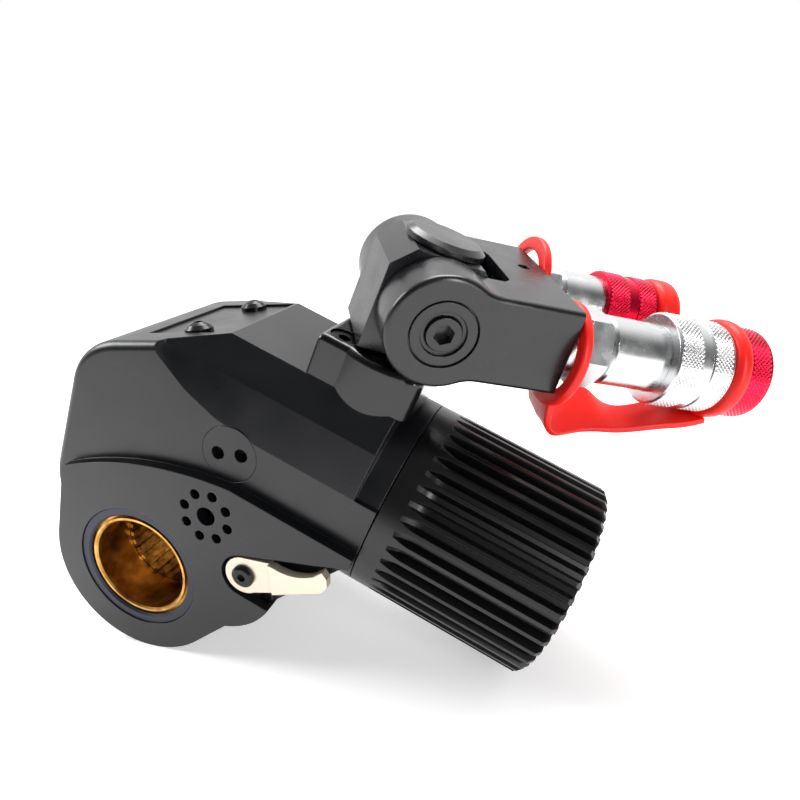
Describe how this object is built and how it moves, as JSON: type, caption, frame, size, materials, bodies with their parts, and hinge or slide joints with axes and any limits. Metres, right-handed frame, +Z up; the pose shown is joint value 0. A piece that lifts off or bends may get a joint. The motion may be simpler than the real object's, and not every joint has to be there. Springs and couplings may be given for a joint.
{
  "type": "hydraulic wrench",
  "caption": "Hydraulic torque wrench with a splined through drive, a ratchet head, a ribbed reaction cylinder and a double swivel with capped hose couplers.",
  "frame": {"origin": "on the drive axis, at mid width of the head", "axes": "+Y along the drive axis to the far cheek, +Z up with the wrench lying on its nose and on the rim of its cylinder, +X level towards the cylinder's end"},
  "size_m": [0.2292, 0.113, 0.1448],
  "materials": {
    "head_black": "satin black",
    "barrel_black": "satin black",
    "base_gloss": "gloss black",
    "swivel_black": "gloss black oxide",
    "screw_black": "black oxide",
    "bronze": "machined",
    "ring_grey": "dull grey",
    "hard_steel": "ground",
    "spring_steel": "bright",
    "seal_rubber": "matt",
    "lever_nickel": "satin nickel",
    "coupler_zinc": "zinc plated",
    "collar_crimson": "anodised crimson",
    "strap_rubber": "satin moulded"
  },
  "bodies": {
    "wrench": {"head_housing": "head_black", "shroud_plate": "head_black", "shroud_screws": "screw_black", "bush_near": "bronze", "bush_far": "bronze", "bush_ring_near": "ring_grey", "bush_ring_far": "ring_grey", "cylinder_barrel": "barrel_black", "cylinder_end_cap": "barrel_black", "rod_gland": "bronze", "pin_plug_near": "head_black", "pin_plug_far": "head_black", "detent_plunger": "screw_black", "swivel_base": "base_gloss", "base_screws": "screw_black", "swivel_post": "hard_steel", "post_cap": "swivel_black"},
    "piston": {"piston": "hard_steel", "piston_seal": "seal_rubber", "piston_rod": "hard_steel", "rod_pin": "hard_steel"},
    "crank": {"drive_plate_near": "hard_steel", "drive_plate_far": "hard_steel", "plate_bridge": "hard_steel"},
    "drive_pawl": {"drive_pawl": "hard_steel", "pawl_springs": "spring_steel"},
    "ratchet": {"ratchet": "hard_steel"},
    "lever": {"release_lever": "lever_nickel", "lever_screw": "screw_black", "pawl_shaft": "hard_steel"},
    "reaction_pawl": {"reaction_pawl": "hard_steel"},
    "swivel": {"swivel_hub": "swivel_black", "pivot_screw_near": "swivel_black", "pivot_screw_far": "swivel_black"},
    "yoke": {"yoke": "swivel_black", "grub_screw": "screw_black", "adapter_near": "coupler_zinc", "adapter_far": "coupler_zinc", "coupler_body_near": "coupler_zinc", "coupler_body_far": "coupler_zinc", "cap_strap_near": "strap_rubber", "cap_strap_far": "strap_rubber"},
    "collar_near": {"coupler_collar_near": "coupler_zinc"},
    "collar_far": {"coupler_collar_far": "collar_crimson"},
    "cap_near": {"cap_flange_near": "strap_rubber", "cap_near": "collar_crimson"},
    "cap_far": {"cap_far": "strap_rubber"}
  },
  "joints": [
    {"name": "piston_extend", "type": "slide", "parent": "wrench", "child": "piston", "axis": [-0.9074, 0, 0.4203], "range_m": [0, 0.0235]},
    {"name": "crank_swing", "type": "hinge", "parent": "wrench", "child": "crank", "pos_m": [0, 0, 0], "axis": [0, -1, 0], "range_deg": [-0.5, 24.5]},
    {"name": "ratchet_turn", "type": "hinge", "parent": "wrench", "child": "ratchet", "pos_m": [0, 0, 0], "axis": [0, -1, 0], "range_deg": [-0.5, 24.5]},
    {"name": "pawl_lift", "type": "slide", "parent": "crank", "child": "drive_pawl", "axis": [0.6608, 0, 0.7505], "range_m": [0, 0.0024], "stiffness_N_per_m": 1500, "springref_m": -0.0025, "deforming": ["pawl_springs"]},
    {"name": "lever_release", "type": "hinge", "parent": "wrench", "child": "lever", "pos_m": [0.04233, 0, 0.00431], "axis": [0, 1, 0], "range_deg": [0, 15], "stiffness_Nm_per_rad": 0.6, "springref_deg": -11.46},
    {"name": "reaction_pawl_engage", "type": "hinge", "parent": "wrench", "child": "reaction_pawl", "pos_m": [0.04233, 0, 0.00431], "axis": [0, -1, 0], "range_deg": [0, 7.3]},
    {"name": "swivel_spin", "type": "hinge", "parent": "wrench", "child": "swivel", "pos_m": [0.09405, 0, 0.09001], "axis": [0.4203, 0, 0.9074], "continuous": true},
    {"name": "yoke_pitch", "type": "hinge", "parent": "swivel", "child": "yoke", "pos_m": [0.09405, 0, 0.09001], "axis": [0.4551, -0.8652, -0.2108], "range_deg": [-7.1, 172.9]},
    {"name": "collar_near_turn", "type": "hinge", "parent": "yoke", "child": "collar_near", "pos_m": [0.16087, 0.01795, 0.06856], "axis": [0.8309, 0.4977, -0.2487], "continuous": true},
    {"name": "collar_far_turn", "type": "hinge", "parent": "yoke", "child": "collar_far", "pos_m": [0.14072, 0.05003, 0.07748], "axis": [0.8309, 0.4977, -0.2487], "continuous": true},
    {"name": "cap_near_pull", "type": "slide", "parent": "yoke", "child": "cap_near", "axis": [0.8309, 0.4977, -0.2487], "range_m": [0, 0.02], "deforming": ["cap_strap_near"]},
    {"name": "cap_far_pull", "type": "slide", "parent": "yoke", "child": "cap_far", "axis": [0.8309, 0.4977, -0.2487], "range_m": [0, 0.02], "deforming": ["cap_strap_far"]}
  ],
  "couplings": [
    {"joint": "crank_swing", "follows": "piston_extend", "rad_per_m": 17.825},
    {"joint": "ratchet_turn", "follows": "piston_extend", "rad_per_m": 17.825}
  ]
}
